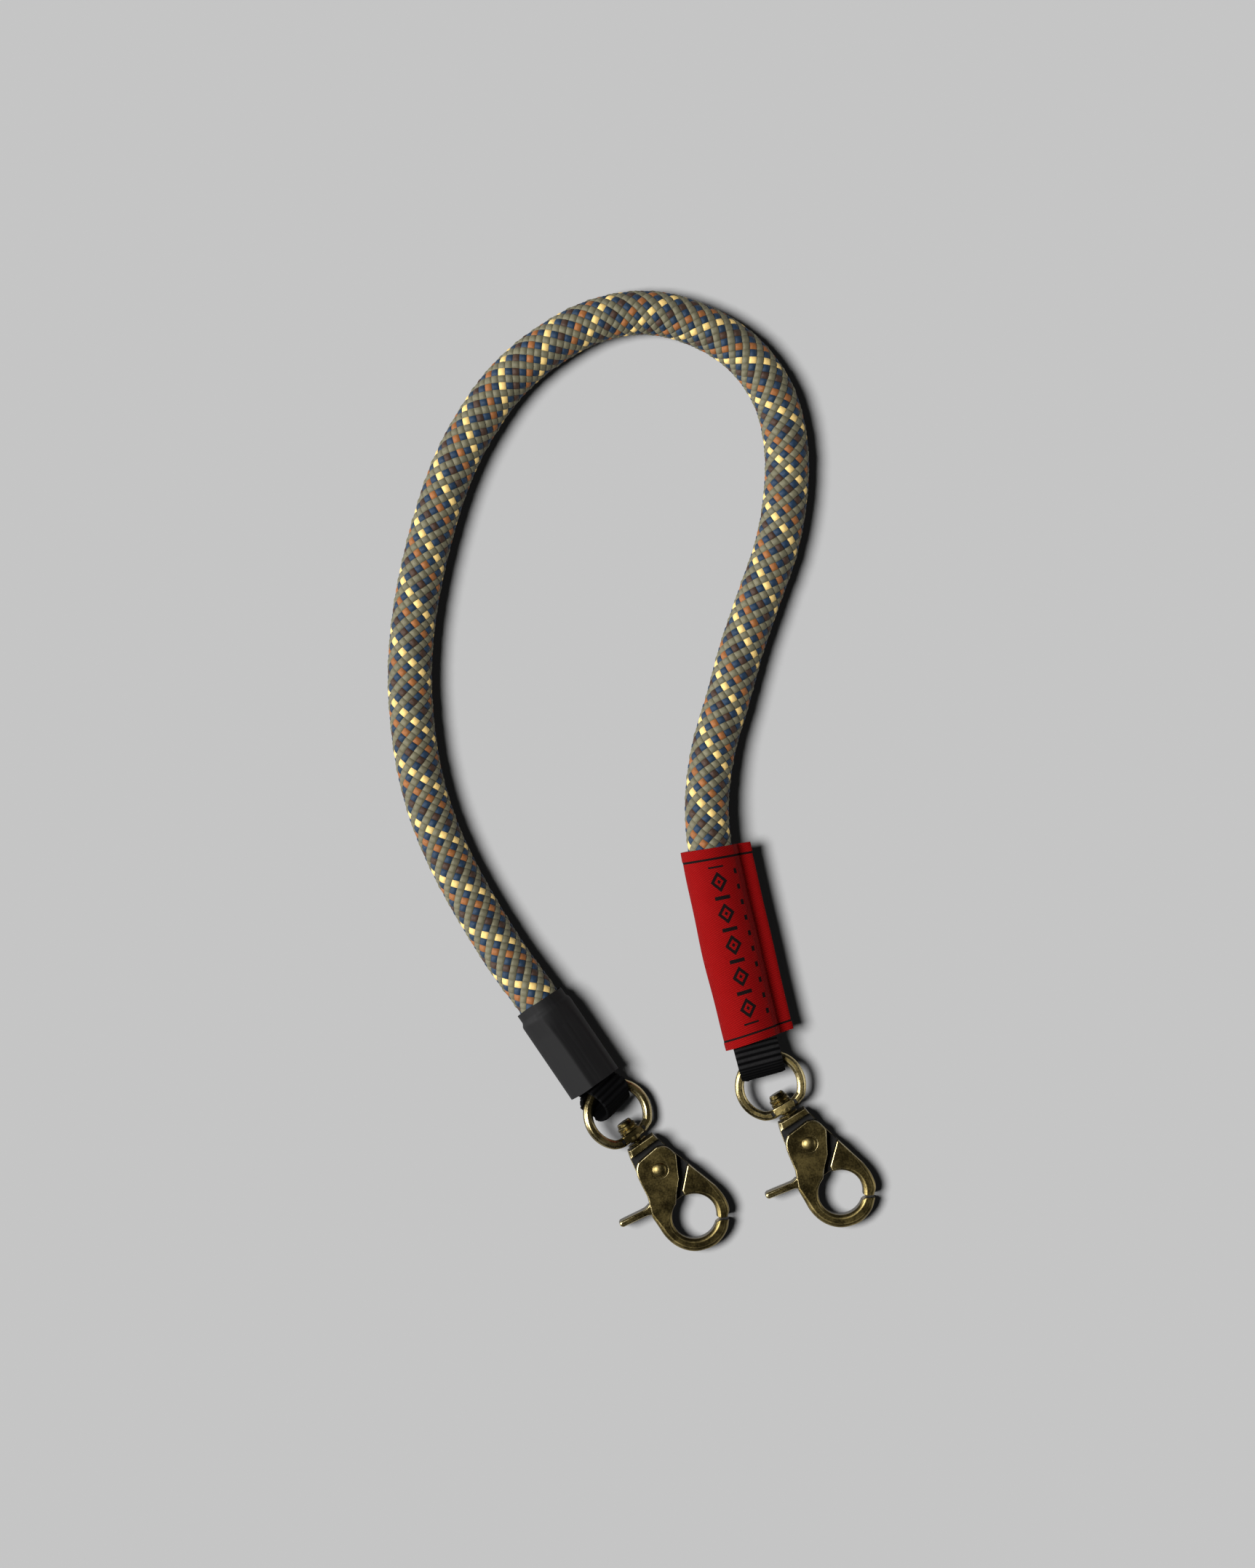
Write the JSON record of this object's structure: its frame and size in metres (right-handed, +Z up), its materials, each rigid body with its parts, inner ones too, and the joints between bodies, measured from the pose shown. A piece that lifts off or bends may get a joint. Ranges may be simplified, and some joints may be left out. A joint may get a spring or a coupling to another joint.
{
  "type": "wrist strap",
  "caption": "Short braided rope wrist strap with a swivel scissor hook on a webbing loop at each end, a heat-shrink sleeve and a woven label.",
  "frame": {"origin": "on the surface the strap lies on, under the middle of its box", "axes": "+Y towards the round of the wrist loop, -Y towards the hooks, +X towards the end with the label, +Z up from the surface"},
  "size_m": [0.1076, 0.2113, 0.013],
  "materials": {
    "braid": "round braid of olive, navy, cream, orange and brown strands",
    "shrink_rubber": "matt black heat-shrink tube",
    "red_weave": "red twill tape with thin black lines",
    "black_webbing": "ribbed black webbing",
    "old_brass": "antique brass plating, bright on worn edges"
  },
  "bodies": {
    "strap": {"braided_rope": "braid", "shrink_sleeve": "shrink_rubber", "woven_label": "red_weave", "webbing_loop_left": "black_webbing", "webbing_loop_right": "black_webbing", "eye_left": "old_brass", "eye_right": "old_brass"},
    "frame_left": {"hook_frame_left": "old_brass", "rivet_left": "old_brass"},
    "trigger_left": {"trigger_jaw_left": "old_brass"},
    "frame_right": {"hook_frame_right": "old_brass", "rivet_right": "old_brass"},
    "trigger_right": {"trigger_jaw_right": "old_brass"}
  },
  "joints": [
    {"name": "swivel_left", "type": "hinge", "parent": "strap", "child": "frame_left", "pos_m": [-0.0031, -0.07561, 0.0056], "axis": [0.5742, -0.814, -0.0872], "continuous": true},
    {"name": "trigger_left_open", "type": "hinge", "parent": "frame_left", "child": "trigger_left", "pos_m": [0.00594, -0.08764, 0.00428], "axis": [-0.0502, 0.0712, -0.9962], "range_deg": [0, 25], "stiffness_Nm_per_rad": 0.01, "springref_deg": -20.05},
    {"name": "swivel_right", "type": "hinge", "parent": "strap", "child": "frame_right", "pos_m": [0.03052, -0.06935, 0.0056], "axis": [0.522, -0.8485, -0.0872], "continuous": true},
    {"name": "trigger_right_open", "type": "hinge", "parent": "frame_right", "child": "trigger_right", "pos_m": [0.03878, -0.08193, 0.00428], "axis": [-0.0457, 0.0742, -0.9962], "range_deg": [0, 25], "stiffness_Nm_per_rad": 0.01, "springref_deg": -20.05}
  ]
}
